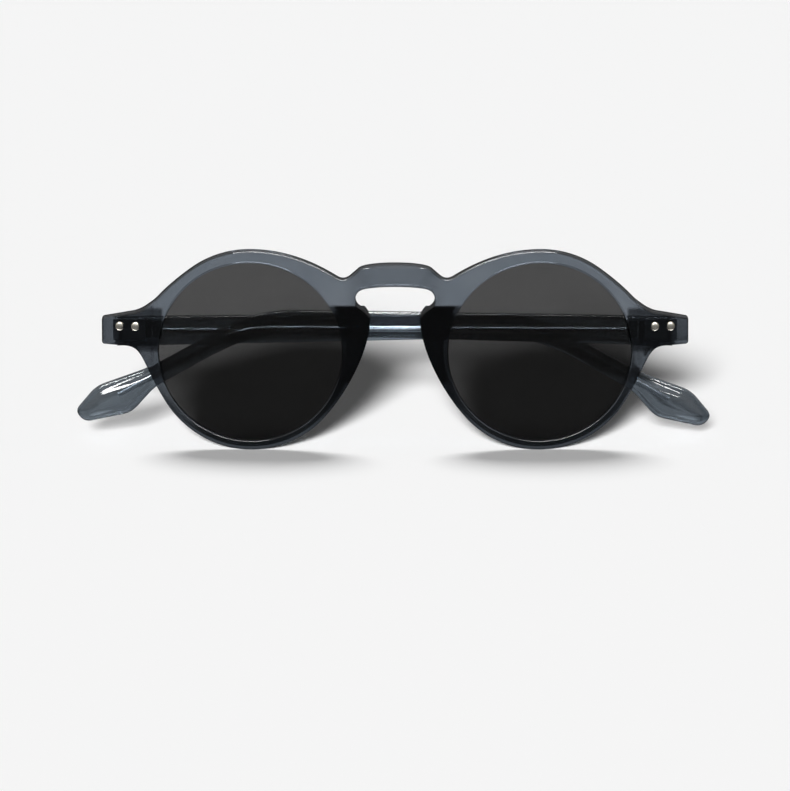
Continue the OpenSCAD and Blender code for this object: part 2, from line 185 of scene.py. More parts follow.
# x is to the wearer's left, z up: from the crown of the bridge round one side, and back by the other.
# The middle two points of each bezier are its handles
def frontOutline():
    endX = fs["width"] / 2
    endTop, endLow = fs["endMiddle"] + fs["endHeight"] / 2, fs["endMiddle"] - fs["endHeight"] / 2
    rim = point(lensX, rimRadius)
    top, keyTop = bs["top"], bs["top"] - bs["height"]
    keyEdge = bs["keyholeWidth"] / 2

    def corner(name, x, z):
        stepX, stepZ = outlineSteps[name]
        return point(x + stepX, z + stepZ)

    crown, notch = corner("crown", keyEdge, top), corner("notch", keyEdge, top)
    browWay = notch + point(7, 4.3)
    brow = rim + point(0, rimRadius)

    def onRim(turn):
        return rim + rimRadius * point(math.cos(math.radians(turn)), math.sin(math.radians(turn)))

    def alongRim(turn):
        return point(math.sin(math.radians(turn)), -math.cos(math.radians(turn)))

    temporal, fillet, nasal = (outlineTurns[name] for name in ("temporal", "fillet", "nasal"))
    slope = point(0.684, -0.73)  # the way the outline runs down to the end piece
    waist = corner("waist", endX, endTop)
    shoulder = corner("shoulder", endX, endTop)
    under = corner("under", endX, endLow)
    throat = point(bs["noseWidth"] / 2, padSizes["top"] - 2.7)
    keyMiddle = point(keyEdge - bs["keyholeRound"], keyTop - bs["keyholeRound"] - 0.7)
    keyArc = arcPoints(keyMiddle, bs["keyholeRound"], -58, 60)
    half = [
        *bezier(point(0, top), point(3.5, top), crown + point(-1, 0.86), crown, 12),
        *roundCorner(crown, notch, browWay, notchRound, 10),
        *bezier(toward(notch, browWay, notchRound), browWay, brow - point(8, 0), brow, 24),
        *arcPoints(rim, rimRadius, 90, temporal, 14),
        *bezier(onRim(temporal), onRim(temporal) + 2.8 * alongRim(temporal),
                waist - 2.8 * slope, waist, 10),
        *bezier(waist, waist + 2.4 * slope, shoulder + point(-2.2, 0.5), shoulder, 12),
        *roundCorner(shoulder, point(endX, endTop), point(endX, endLow), fs["endCorner"]),
        *roundCorner(point(endX, endTop), point(endX, endLow), under, fs["endCorner"]),
        *bezier(under, under - point(4.2, 0.25),
                onRim(fillet) - 10.2 * alongRim(fillet), onRim(fillet), 24),
        *arcPoints(rim, rimRadius, fillet, nasal, 50),
        *bezier(onRim(nasal), onRim(nasal) + 7 * alongRim(nasal), throat - point(-0.2, 8.8), throat),
        *bezier(throat, throat + point(0, 1.1), keyArc[0] - point(1, 0.6), keyArc[0], 6),
        *keyArc,
        *bezier(keyArc[-1], keyArc[-1] + point(-1.4, 0.8), point(3, keyTop), point(0, keyTop), 8),
    ]
    return withoutDoubles(half + [point(-p.x, p.y) for p in reversed(half)])


# Draws a clockwise loop in, each point by its own distance, and corners further, up to a limit
def insetLoop(points, distances, sharpest=0.6):
    out = []
    for i, p in enumerate(points):
        a = (p - points[i - 1]).normalized()
        b = (points[(i + 1) % len(points)] - p).normalized()
        inward = point(a.y, -a.x) + point(b.y, -b.x)
        out.append(p + inward.normalized() * distances[i] / max(sharpest, inward.length / 2))
    return out


# Inset and depth of the loops round one edge, as shares of its radius, from the flat face on
def edgeProfile(steps=6):
    turns = [math.radians(90 * i / steps) for i in range(steps + 1)]
    return [(profileStart, 0)] + [(1 - math.sin(t), 1 - math.cos(t)) for t in turns]


def openingLoop(side, grow, count=128):
    halfWide, halfTall = openWide / 2 + grow, openTall / 2 + grow
    turns = [2 * math.pi * i / count for i in range(count)]
    return [point(side * lensX + halfWide * math.cos(t), lensZ + halfTall * math.sin(t)) for t in turns]


# How far back the curved front lies at a place across it and a depth in it
def faceSag(x, depth):
    return fs["faceRadius"] - math.sqrt((fs["faceRadius"] - depth) ** 2 - x * x)


def smoothStep(a, b, x):
    t = min(1, max(0, (x - a) / (b - a)))
    return t * t * (3 - 2 * t)


# Share of the bridge bar's height at a place on the front face
def barLift(x, z):
    middle = bs["top"] - bs["height"] / 2
    if z < middle - bs["facetReach"]:
        return 0
    slanted = abs(x) - (z - middle) * math.tan(math.radians(bs["facetLean"]))
    return min(1, max(0, (bs["barHalf"] + bs["facetRun"] - slanted) / bs["facetRun"]))


def newObject(name, bm):
    mesh = bpy.data.meshes.new(name)
    bm.to_mesh(mesh)
    bm.free()
    piece = bpy.data.objects.new(name, mesh)
    bpy.context.scene.collection.objects.link(piece)
    return piece


def onlySelect(piece):
    bpy.ops.object.select_all(action="DESELECT")
    piece.select_set(True)
    bpy.context.view_layer.objects.active = piece


def polish(piece, angle):
    onlySelect(piece)
    bpy.ops.object.shade_smooth_by_angle(angle=math.radians(angle), keep_sharp_edges=True)


# Joins loops of equal length by quads and returns their rings of points
def skin(bm, loops):
    rings = [[bm.verts.new(p) for p in loop] for loop in loops]
    for a, b in zip(rings, rings[1:]):
        for i in range(len(a)):
            j = (i + 1) % len(a)
            bm.faces.new((a[i], a[j], b[j], b[i]))
    return rings


def ringEdges(bm, ring):
    return [bm.edges.get((ring[i - 1], ring[i])) for i in range(len(ring))]


# Cuts a crisp line into the bridge's front face out to a reach, or a soft one across the whole back
def scoreFace(bm, place, normal, bridgeReach=None):
    lowest = bs["top"] - bs["height"] / 2 - bs["facetReach"]
    faces = []
    for f in bm.faces:
        depths = [v.co.y for v in f.verts]
        if bridgeReach is None:
            wanted = min(depths) > fs["thickness"] - 0.001
        else:
            near = all(abs(v.co.x) < bridgeReach for v in f.verts)
            wanted = near and max(depths) < 0.001 and f.calc_center_median().z > lowest
        if wanted:
            faces.append(f)
    edges = list(dict.fromkeys(e for f in faces for e in f.edges))
    verts = list(dict.fromkeys(v for f in faces for v in f.verts))
    cut = bmesh.ops.bisect_plane(bm, geom=faces + edges + verts, dist=0.0001,
                                 plane_co=place, plane_no=normal)["geom_cut"]
    if bridgeReach is not None:
        for e in cut:
            if isinstance(e, bmesh.types.BMEdge):
                e.smooth = False


# The front is drawn flat, then bent round the face, with its bar raised and the backs of its ends flat
def makeFront():
    outline = frontOutline()
    bm = bmesh.new()
    thickness, edge = fs["thickness"], fs["edgeRound"]
    opening, ridge = fs["openingRound"], fs["lensRidge"]
    outer = [(share * edge, sink * edge) for share, sink in edgeProfile()]
    outer += [(inset, thickness - sink) for inset, sink in reversed(outer)]
    wall = [(share * opening, sink * opening) for share, sink in edgeProfile(4)]
    back = [(grow, thickness - sink) for grow, sink in reversed(wall)]
    start, end, slope = ls["setBack"], ls["setBack"] + ls["thickness"], 0.02
    wall += [(0, start), (-ridge, start + slope), (-ridge, end), (0, end + slope), *back]
    shells = [[]]
    for inset, y in outer:
        shells[0].append([(p.x, y, p.y) for p in insetLoop(outline, [inset] * len(outline))])
    for side in (1, -1):
        shells.append([[(p.x, y, p.y) for p in openingLoop(side, grow)] for grow, y in wall])
    caps = [[], []]
    for loops in shells:
        rings = skin(bm, loops)
        for cap, ring in zip(caps, (rings[0], rings[-1])):
            cap.extend(ringEdges(bm, ring))
    for cap in caps:
        bmesh.ops.triangle_fill(bm, use_beauty=True, use_dissolve=False, edges=cap)
    # Lines where the bridge bar's facets and the thick ends start
    turn = math.radians(bs["facetLean"])
    middle = bs["top"] - bs["height"] / 2
    scoreFace(bm, (0, 0, bs["top"] - bs["topFacet"]), (0, 0, 1), bridgeReach=12)
    for side in (1, -1):
        for x in (bs["barHalf"], bs["barHalf"] + bs["facetRun"]):
            slanted = (side * math.cos(turn), 0, -math.sin(turn))
            scoreFace(bm, (side * x, 0, middle), slanted, bridgeReach=14)
        for x in fs["blockLines"]:
            scoreFace(bm, (side * x, 0, 0), (1, 0, 0))
    for z in fs["blockLevels"]:
        scoreFace(bm, (0, 0, z), (0, 0, 1))
    low = fs["endMiddle"] - fs["endHeight"] / 2 - fs["blockBelow"]
    below, above = fs["blockEase"]
    for v in bm.verts:
        x, depth, z = v.co
        y = faceSag(x, depth)
        if depth > thickness / 2:
            flatBack = smoothStep(fs["blockLines"][0], fs["blockLines"][3], abs(x))
            flatBack *= smoothStep(low - below, low + above, z)
            y += flatBack * (endBack - hs["leafProud"] - faceSag(x, thickness))
        else:
            lift = barLift(x, z)
            y -= lift * bs["raise"]
            y += lift * max(0, z - bs["top"] + bs["topFacet"]) * bs["topFacetSlope"]
        v.co = Vector((x, y + faceY, z)) * mm
    bmesh.ops.remove_doubles(bm, verts=bm.verts, dist=1e-6)
    bmesh.ops.recalc_face_normals(bm, faces=bm.faces)
    piece = newObject("acetateFront", bm)
    polish(piece, 40)
    return piece


lensMesh = {
    "rings": 8,
    "ringStep": 2.4,
    "edgeBevel": 0.12,
    "intoWall": 0.1,  # how far its edge is sunk into the wall of the opening
}


# The bonded laminate: an oval disc with rings of faces, dished like the front, then given its thickness
def makeLens(side, name):
    bpy.ops.object.select_all(action="DESELECT")
    bpy.ops.mesh.primitive_circle_add(vertices=96, radius=0.5, fill_type="NGON",
                                      location=(side * lensX * mm, 0, lensZ * mm),
                                      rotation=(math.pi / 2, 0, 0))
    piece = bpy.context.active_object
    piece.name = name
    grown = 2 * lensMesh["intoWall"]
    bpy.ops.transform.resize(value=((openWide + grown) * mm, 1, (openTall + grown) * mm))
    bpy.ops.object.transform_apply(location=True, rotation=True, scale=True)
    bpy.ops.object.mode_set(mode="EDIT")
    bpy.ops.mesh.select_all(action="SELECT")
    for ring in range(lensMesh["rings"]):
        bpy.ops.mesh.inset(thickness=lensMesh["ringStep"] * mm)
    bpy.ops.object.mode_set(mode="OBJECT")
    for v in piece.data.vertices:
        v.co.y = (faceSag(v.co.x / mm, ls["setBack"]) + faceY) * mm
    wall = piece.modifiers.new("wall", "SOLIDIFY")
    wall.thickness = ls["thickness"] * mm
    wall.offset = -1
    edge = piece.modifiers.new("edge", "BEVEL")
    edge.width = lensMesh["edgeBevel"] * mm
    edge.segments = 2
    edge.angle_limit = math.radians(60)
    for modifier in ("wall", "edge"):
        bpy.ops.object.modifier_apply(modifier=modifier)
    polish(piece, 15)
    return piece


# The paddle's corners: along from the tip, up from the neck's upper line (1), its lower one (-1) or the
# middle (0), and how round each is
paddleCorners = [
    {"along": -19.5, "line": 1, "up": 0.0, "round": 3.0},
    {"along": -6.9, "line": 1, "up": 1.9, "round": 2.2},
    {"along": 0.1, "line": 0, "up": 1.2, "round": 1.6},
    {"along": -0.7, "line": 0, "up": -2.1, "round": 1.6},
    {"along": -11.2, "line": -1, "up": -3.1, "round": 2.0},
    {"along": -18.6, "line": -1, "up": -0.4, "round": 2.0},
]
templeMesh = {
    "longest": 1.4,  # edge along the side view
    "spineShares": (0.12, 0.35, 0.58, 0.8),  # loops between the middle line and the rounded edge
    "edgeSteps": 8,
}


def bendPoint(u, v):  # u along the part behind the bend, v up across it
    turn = math.radians(ts["bend"])
    start = point(ts["straight"], hs["height"] - ts["bendBelow"])
    return start + u * point(math.cos(turn), -math.sin(turn)) + v * point(math.sin(turn), math.cos(turn))


# Side view of a temple, clockwise from the top of its butt, and the line along its middle
def templeOutline():
    h, neck, length = hs["height"], ts["neck"] / 2, ts["tip"]
    armEnd = ts["straight"] - ts["bendEase"]
    buttTop, buttLow = point(templeButt, h + ts["buttUp"]), point(templeButt, h - ts["buttDown"])
    armTop, armLow = point(armEnd, h + ts["armUp"]), point(armEnd, h - ts["armDown"])
    over = bezier(armTop, armTop + point(11, 0.4), bendPoint(4, neck), bendPoint(9, neck), 20)
    under = bezier(bendPoint(length - 31, -neck), bendPoint(4, -neck),
                   armLow + point(10, 0.6), armLow, 20)
    way = [over[-1]]
    for c in paddleCorners:
        way.append(bendPoint(length + c["along"], c["line"] * neck + c["up"]))
    way.append(bendPoint(length - 24, -neck))
    points = [buttTop, *over]
    for i, c in enumerate(paddleCorners):
        points += roundCorner(way[i], way[i + 1], way[i + 2], c["round"], 8)
    points += [*under, buttLow]
    fine = []
    for a, b in zip(points, points[1:] + points[:1]):
        pieces = max(1, round((b - a).length / templeMesh["longest"]))
        fine += [a + (b - a) * i / pieces for i in range(pieces)]
    middle = [(buttTop + buttLow) / 2 + point(2.5, 0)]
    middle += [(a + b) / 2 for a, b in zip(over, reversed(under))]
    middle += [bendPoint(20, 0), bendPoint(length - 11, -0.5), bendPoint(length - 5, -0.5)]
    return withoutDoubles(fine), middle


# The place on a line of points that is nearest to a point
def nearestOn(line, p):
    places = []
    for a, b in zip(line, line[1:]):
        share = min(1, max(0, (p - a).dot(b - a) / (b - a).length_squared))
        places.append(a + share * (b - a))
    return min(places, key=lambda place: (place - p).length)


# A temple is a stack of side views, from the middle line of its inner face round its edge to that of the
# outer face. The paddle is domed on its inner face, and flat on its outer one
def makeTemple(side, name):
    outline, middle = templeOutline()
    start = bendPoint(0, 0)
    ahead = (bendPoint(1, 0) - start).normalized()
    swells = [smoothStep(*ts["paddleStart"], (p - start).dot(ahead)) for p in outline]
    talls = [ts["armRound"] + swell * (ts["paddleRoundTall"] - ts["armRound"]) for swell in swells]
    deeps = [ts["armRound"] + swell * (ts["paddleRoundDeep"] - ts["armRound"]) for swell in swells]
    domes = [ts["paddleDome"] * swell for swell in swells]
    taper = (ts["thickness"] - ts["tipThickness"]) / (ts["straight"] + ts["tip"])
    level = insetLoop(outline, [profileStart * tall for tall in talls])
    spine = [nearestOn(middle, p) for p in level]
    contours = []  # side view of each loop, how far its rounding sinks it and how far the dome does
    for share in templeMesh["spineShares"]:
        line = [c + (p - c) * share for c, p in zip(spine, level)]
        contours.append((line, [0.0] * len(line), [dome * share ** 2 for dome in domes]))
    for share, sink in edgeProfile(templeMesh["edgeSteps"]):
        line = insetLoop(outline, [share * tall for tall in talls])
        contours.append((line, [sink * deep for deep in deeps], domes))
    innerFace, outerFace = templeIn + hs["leafProud"], templeIn + ts["thickness"]
    inner, outer = [], []
    for line, sinks, hollows in contours:
        inner.append([(p.x, innerFace + sink + dome, p.y) for p, sink, dome in zip(line, sinks, hollows)])
        outer.append([(p.x, outerFace - taper * p.x - sink, p.y) for p, sink in zip(line, sinks)])
    letBack, cross = math.radians(hs["letBack"]), math.radians(ts["cross"]) * side
    lay = Matrix.Rotation(math.radians(lean), 3, "Z")
    hinge = Vector((side * hingeX, hingeY + faceY, hs["height"]))

    def placed(s, w, z):  # from the temple's own side view to its place, folded
        meet = (w * math.sin(letBack) + templeButt) / math.cos(letBack) - templeButt
        s += meet * (1 - smoothStep(templeButt, templeButt + ts["buttEase"], s))
        z -= hs["height"]
        s, z = s * math.cos(cross) - z * math.sin(cross), s * math.sin(cross) + z * math.cos(cross)
        return (lay @ Vector((-side * s, w, 0)) + hinge + Vector((0, 0, z))) * mm

    bm = bmesh.new()
    rings = skin(bm, [[placed(*p) for p in loop] for loop in inner + outer[::-1]])
    for ring in (rings[0], rings[-1]):
        bmesh.ops.triangle_fill(bm, use_beauty=True, use_dissolve=False, edges=ringEdges(bm, ring))
    bmesh.ops.recalc_face_normals(bm, faces=bm.faces)
    piece = newObject(name, bm)
    polish(piece, 40)
    return piece


rivetSizes = {
    "head": 0.94,
    "headTall": 0.42,
    "shank": 0.55,
    "proud": 0.03,  # how far the head stands out of its node
    "rings": [  # turned into the head from its edge in: how far each goes in, and out from the last
        (0.04, -0.02),
        (0.12, -0.09),  # a dark seat
        (0.03, 0.22),
        (0.09, 0.05),
        (0.17, 0.02),
        (0.04, -0.05),  # a fine groove
        (0.06, 0.0),
        (0.04, 0.05),
        (0.25, 0.03),
    ],
}


# One rivet at the origin, its head towards -Y, with rings turned into the head, and its shank
def makeRivet(name, length):
    rs = rivetSizes
    bpy.ops.object.select_all(action="DESELECT")
    bpy.ops.mesh.primitive_cylinder_add(vertices=40, radius=rs["head"] * mm, depth=rs["headTall"] * mm,
                                        location=(0, rs["headTall"] / 2 * mm, 0),
                                        rotation=(math.pi / 2, 0, 0))
    piece = bpy.context.active_object
    piece.name = name
    bpy.ops.object.transform_apply(location=True, rotation=True, scale=True)

    def pick(direction):  # selects the flat face that looks this way along Y
        bpy.ops.object.mode_set(mode="EDIT")
        bpy.ops.mesh.select_all(action="DESELECT")
        bpy.ops.object.mode_set(mode="OBJECT")
        for face in piece.data.polygons:
            face.select = len(face.vertices) > 4 and face.normal.y * direction > 0.9
        bpy.ops.object.mode_set(mode="EDIT")

    pick(-1)
    for inward, outward in rs["rings"]:
        bpy.ops.mesh.inset(thickness=inward * mm)
        bpy.ops.transform.translate(value=(0, -outward * mm, 0))
    pick(1)
    bpy.ops.mesh.inset(thickness=(rs["head"] - rs["shank"]) * mm)
    reach = (length - rs["headTall"]) * mm
    bpy.ops.mesh.extrude_region_move(TRANSFORM_OT_translate={"value": (0, reach, 0)})
    bpy.ops.object.mode_set(mode="OBJECT")
    polish(piece, 30)
    return piece


# Swaps a node's rivet for a copy of the finished one, as long as the node and turned to its outer face
def setRivet(pattern, node, outward, body):
    low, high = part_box(node)
    proud = rivetSizes["proud"] * mm
    copy = pattern.copy()
    copy.data = pattern.data.copy()
    copy.name = "turned_" + node
    bpy.context.scene.collection.objects.link(copy)
    for v in copy.data.vertices:
        if v.co.y > rivetSizes["headTall"] * 2 * mm:  # the end of the shank
            v.co.y = high.y - low.y + proud
    face = low.y if outward < 0 else high.y
    copy.location = ((low.x + high.x) / 2, face + proud * outward, (low.z + high.z) / 2)
    copy.rotation_euler = (0, 0, 0 if outward < 0 else math.pi)
    onlySelect(copy)
    bpy.ops.object.transform_apply(location=True, rotation=True, scale=True)
    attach(copy, body)
    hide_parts(node)
    return copy


# A pad: the node's own shape with its sharp edges softened
def makePad(node, name):
    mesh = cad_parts[node].data.copy()
    piece = bpy.data.objects.new(name, mesh)
    bpy.context.scene.collection.objects.link(piece)
    onlySelect(piece)
    bpy.ops.object.mode_set(mode="EDIT")
    bpy.ops.mesh.select_all(action="SELECT")
    bpy.ops.mesh.remove_doubles(threshold=0.001 * mm)
    bpy.ops.mesh.dissolve_limited(angle_limit=math.radians(0.5))
    bpy.ops.object.mode_set(mode="OBJECT")
    edge = piece.modifiers.new("edge", "BEVEL")
    edge.width = padSizes["round"] * mm
    edge.segments = 3
    edge.angle_limit = math.radians(padSizes["sharp"])
    bpy.ops.object.modifier_apply(modifier="edge")
    polish(piece, 35)
    return piece


# An sRGB colour, such as "#70777f", as the linear one that a shader takes
def linear(hexColour):
    out = []
    for i in (1, 3, 5):
        c = int(hexColour[i:i + 2], 16) / 255
        out.append(c / 12.92 if c <= 0.04045 else ((c + 0.055) / 1.055) ** 2.4)
    return (*out, 1.0)


# Adds a node with its settings and, from other nodes' outputs, its links
def addNode(tree, kind, settings=None, links=None):
    node = tree.nodes.new("ShaderNode" + kind)
    for key, value in (settings or {}).items():
        if isinstance(key, int) or key in node.inputs:
            node.inputs[key].default_value = value
        else:
            setattr(node, key, value)
    for key, source in (links or {}).items():
        tree.links.new(source, node.inputs[key])
    return node


def newMaterial(name):
    material = bpy.data.materials.new(name)
    material.use_nodes = True
    tree = material.node_tree
    tree.nodes.clear()
    return material, tree


def dress(piece, material):
    piece.data.materials.clear()
    piece.data.materials.append(material)
    for face in piece.data.polygons:
        face.material_index = 0


# Two values worked out together, or a value with a number
def worked(tree, operation, first, second):
    if isinstance(second, float):
        return addNode(tree, "Math", {"operation": operation, 1: second}, {0: first}).outputs[0]
    return addNode(tree, "Math", {"operation": operation}, {0: first, 1: second}).outputs[0]


# 1 between two places along an axis, fading out over a distance on either side
def band(tree, value, low, high, fade):
    rise = addNode(tree, "MapRange",
                   {"interpolation_type": "SMOOTHSTEP",
                    "From Min": (low - fade) * mm, "From Max": low * mm},
                   {"Value": value})
    fall = addNode(tree, "MapRange",
                   {"interpolation_type": "SMOOTHSTEP",
                    "From Min": high * mm, "From Max": (high + fade) * mm, "To Min": 1.0, "To Max": 0.0},
                   {"Value": value})
    return worked(tree, "MULTIPLY", rise.outputs[0], fall.outputs[0])


# A colour turned into a second one by a share
def mixed(tree, share, first, second):
    mix = addNode(tree, "Mix", {"data_type": "RGBA"}, {"Factor": share, 6: first})
    mix.inputs[7].default_value = linear(second)
    return mix.outputs[2]


# Places in the front darkened with painted shade: round the end pieces and the hinges behind them, down
# the outer and nasal sides and along the lower rims, and a little darker over the bridge. Given are where
# they lie, across from the middle and up, how far they fade out, and their share of the deep colour
paintedShadePlaces = [
    {"across": (53.4, 62.6), "up": (22.6, 31.6), "fade": 0.9, "share": 0.82},
    {"across": (49.0, 62.0), "up": (17.0, 23.4), "fade": 2.5, "share": 0.5},
    {"across": (0.0, 12.5), "up": (2.0, 32.8), "fade": 0.4, "fadeAcross": 9.0, "share": 0.95},
    {"across": (0.0, 58.0), "up": (-2.0, 6.0), "fade": 18.0, "share": 0.64},
    {"across": (62.6, 70.0), "up": (20.0, 34.0), "fade": 0.9, "share": 0.5},
    {"across": (0.0, 9.0), "up": (34.0, 46.0), "fade": 3.0, "share": 0.14},
]


# Colours where it is clearest, where it is cloudier, and a deep one for the darker edges, the painted dark
# outline and the front's painted shade
acetateColours = {
    "frontAcetate": ("#70777f", "#666e77", "#0e1115"),
    "templeAcetate": ("#60686f", "#575f67", "#0e1115"),
    "thickAcetate": ("#3a4048", "#31363d", "#0c0e12"),
}
acetateValues = {
    "cloud": 9.0,  # size of the clouds in the sheet
    "haze": 1.5,  # size of the traces of polishing
    "turned": 0.85,  # power of the deep colour where the surface turns away
    "paintedOutlineTurned": 2.0,  # power and share of the painted dark outline where it is seen edge on
    "outline": 0.85,
}


# Cellulose acetate, cut from sheet and tumble polished: clear smoke grey with a cloud of colour in it. It
# is darker towards its edges, partly for the longer way light has through it and partly as a painted dark
# edge and outline. On the front it is also darkened in places with painted shade
def crystalAcetate(name, places=()):
    av = acetateValues
    clear, cloudy, deep = acetateColours[name]
    material, tree = newMaterial(name)
    place = addNode(tree, "TexCoord").outputs["Object"]
    cloud = addNode(tree, "TexNoise", {"Scale": 1 / (av["cloud"] * mm), "Detail": 2.0}, {"Vector": place})
    ramp = addNode(tree, "ValToRGB", None, {"Fac": cloud.outputs["Fac"]})
    ramp.color_ramp.elements[0].position = 0.3
    ramp.color_ramp.elements[0].color = linear(cloudy)
    ramp.color_ramp.elements[1].position = 0.7
    ramp.color_ramp.elements[1].color = linear(clear)
    colour = ramp.outputs["Color"]
    axes = addNode(tree, "SeparateXYZ", None, {"Vector": place}).outputs
    across = addNode(tree, "Math", {"operation": "ABSOLUTE"}, {0: axes["X"]}).outputs[0]
    # Painted shade: each place turns the colour towards the deep one
    for shadeSpot in places:
        sideways = band(tree, across, *shadeSpot["across"], shadeSpot.get("fadeAcross", shadeSpot["fade"]))
        upward = band(tree, axes["Z"], *shadeSpot["up"], shadeSpot["fade"])
        both = worked(tree, "MULTIPLY", sideways, upward)
        share = worked(tree, "MULTIPLY", both, shadeSpot["share"])
        colour = mixed(tree, share, colour, deep)
    # Darker where the surface turns away: partly the longer way through the acetate, partly a painted dark
    # edge
    facing = addNode(tree, "LayerWeight", {"Blend": 0.5}).outputs["Facing"]
    rim = worked(tree, "POWER", facing, av["turned"])
    colour = mixed(tree, rim, colour, deep)
    haze = addNode(tree, "TexNoise", {"Scale": 1 / (av["haze"] * mm), "Detail": 3.0}, {"Vector": place})
    rough = addNode(tree, "MapRange", {"To Min": 0.015, "To Max": 0.04}, {"Value": haze.outputs["Fac"]})
    ripple = addNode(tree, "Bump", {"Strength": 0.03, "Distance": 0.02 * mm},
                     {"Height": haze.outputs["Fac"]})
    shader = addNode(tree, "BsdfPrincipled",
                     {"Transmission Weight": 0.95, "IOR": 1.48, "Specular IOR Level": 0.5},
                     {"Base Color": colour, "Roughness": rough.outputs["Result"],
                      "Normal": ripple.outputs["Normal"]})
    # A painted dark outline: where the surface is seen edge on, a matt dark shader takes the place of the
    # clear acetate
    slanted = worked(tree, "POWER", facing, av["paintedOutlineTurned"])
    outline = worked(tree, "MULTIPLY", slanted, av["outline"])
    paintedEdgeShade = addNode(tree, "BsdfDiffuse", {"Color": linear(deep)})
    surface = addNode(tree, "MixShader", None,
                      {0: outline, 1: shader.outputs["BSDF"], 2: paintedEdgeShade.outputs["BSDF"]})
    addNode(tree, "OutputMaterial", None, {"Surface": surface.outputs[0]})
    return material


lensTint = {"darker": "#4d4d4d", "lighter": "#515151", "cloud": 30.0, "shine": 0.08}


# Cellulose laminate round a polarizing film, hard coated: neutral grey, hardly a reflection
def tintedLens():
    material, tree = newMaterial("tintedLens")
    place = addNode(tree, "TexCoord").outputs["Object"]
    cloud = addNode(tree, "TexNoise", {"Scale": 1 / (lensTint["cloud"] * mm), "Detail": 1.0},
                    {"Vector": place})
    colour = addNode(tree, "ValToRGB", None, {"Fac": cloud.outputs["Fac"]})
    colour.color_ramp.elements[0].color = linear(lensTint["darker"])
    colour.color_ramp.elements[1].color = linear(lensTint["lighter"])
    shader = addNode(tree, "BsdfPrincipled",
                     {"Transmission Weight": 1.0, "IOR": 1.49, "Roughness": 0.0,
                      "Specular IOR Level": lensTint["shine"]},
                     {"Base Color": colour.outputs["Color"]})
    addNode(tree, "OutputMaterial", None, {"Surface": shader.outputs["BSDF"]})
    return material


# Two tones of the metal, how rough it is and how wide the lines of its finish are
steelFinishes = {
    "turnedRivetSteel": {"tones": ("#b9b6ad", "#e2ded4"), "rough": (0.26, 0.42), "grain": 0.12},
    "brushedHingeSteel": {"tones": ("#4c4e52", "#67696d"), "rough": (0.28, 0.42), "grain": 0.15},
    "drawnCoreWire": {"tones": ("#cfd2d6", "#f0f1f2"), "rough": (0.12, 0.24), "grain": 0.2},
}


# Stainless steel, turned, brushed or drawn: a fine unevenness and a soft shine
def stainlessSteel(name):
    finish = steelFinishes[name]
    material, tree = newMaterial(name)
    place = addNode(tree, "TexCoord").outputs["Object"]
    lines = addNode(tree, "TexNoise",
                    {"Scale": 1 / (finish["grain"] * mm), "Detail": 4.0, "Roughness": 0.6},
                    {"Vector": place}).outputs["Fac"]
    colour = addNode(tree, "ValToRGB", None, {"Fac": lines})
    for element, tone in zip(colour.color_ramp.elements, finish["tones"]):
        element.color = linear(tone)
    low, high = finish["rough"]
    rough = addNode(tree, "MapRange", {"To Min": low, "To Max": high}, {"Value": lines})
    dents = addNode(tree, "Bump", {"Strength": 0.25, "Distance": 0.02 * mm}, {"Height": lines})
    shader = addNode(tree, "BsdfPrincipled", {"Metallic": 1.0},
                     {"Base Color": colour.outputs["Color"], "Roughness": rough.outputs["Result"],
                      "Normal": dents.outputs["Normal"]})
    addNode(tree, "OutputMaterial", None, {"Surface": shader.outputs["BSDF"]})
    return material


stageValues = {
    "background": 0.905,  # how bright the room is, seen straight or through the lenses
    "paper": 0.95,
    "floorSize": 12.0,  # metres
    "seam": -6.5,  # where the near paper meets the far one, under the rims
    "floorGlare": 0.06,  # how light the paper is in reflections
    "ambient": 0.075,  # the room's light on the paper and the glasses
    "dome": {"From Min": 0.06, "From Max": 0.5, "To Min": 0.12, "To Max": 0.9},  # brighter overhead
}
# Suns that light one paper each: angles in degrees, and the share of the paper's light that they give
sunValues = {
    "farKey": {"lift": 12.2, "turn": -4.0, "spread": 7.0, "share": 0.53},
    "frontKey": {"lift": 12.2, "turn": -4.0, "spread": 5.0, "share": 0.356},
    "nearFill": {"lift": 12.2, "turn": -4.0, "spread": 5.0, "share": 0.327},
    "backKey": {"lift": 54.0, "turn": 186.0, "spread": 30.0, "share": 0.56},
}
# Strip lights that shine on the glasses alone, in metres, all turned to one place
stripValues = {
    "topStrip": {"place": (0, -0.32, 0.42), "size": (0.4, 0.26), "glow": 18},
    "browStrip": {"place": (0, -0.46, 0.27), "size": (0.5, 0.1), "glow": 32},
    "rearStrip": {"place": (0, 1.0, 0.16), "size": (0.5, 0.12), "glow": 1},
    "overStrip": {"place": (0, 0.05, 0.5), "size": (0.4, 0.2), "glow": 60},
}
stripAim = (0, 0, 0.03)


# 1 where the ray is one of these kinds
def rayIs(tree, *kinds):
    path = addNode(tree, "LightPath")
    total = path.outputs[kinds[0]]
    for kind in kinds[1:]:
        total = worked(tree, "MAXIMUM", total, path.outputs[kind])
    return total


# A collection for light linking
def collected(name, members):
    group = bpy.data.collections.new(name)
    for member in members:
        group.objects.link(member)
    return group


# Only the blockers cast a shadow in its light; without any, everything does
def addSun(name, floor, blockers=None):
    values = sunValues[name]
    lift = math.radians(values["lift"])
    data = bpy.data.lights.new(name, "SUN")
    data.energy = values["share"] * math.pi / math.sin(lift)
    data.angle = math.radians(values["spread"])
    sun = bpy.data.objects.new(name, data)
    sun.rotation_euler = (math.radians(90) - lift, 0, math.radians(values["turn"]))
    bpy.context.scene.collection.objects.link(sun)
    sun.light_linking.receiver_collection = collected(name + "Lights", [floor])
    if blockers:
        sun.light_linking.blocker_collection = collected(name + "Blockers", blockers)


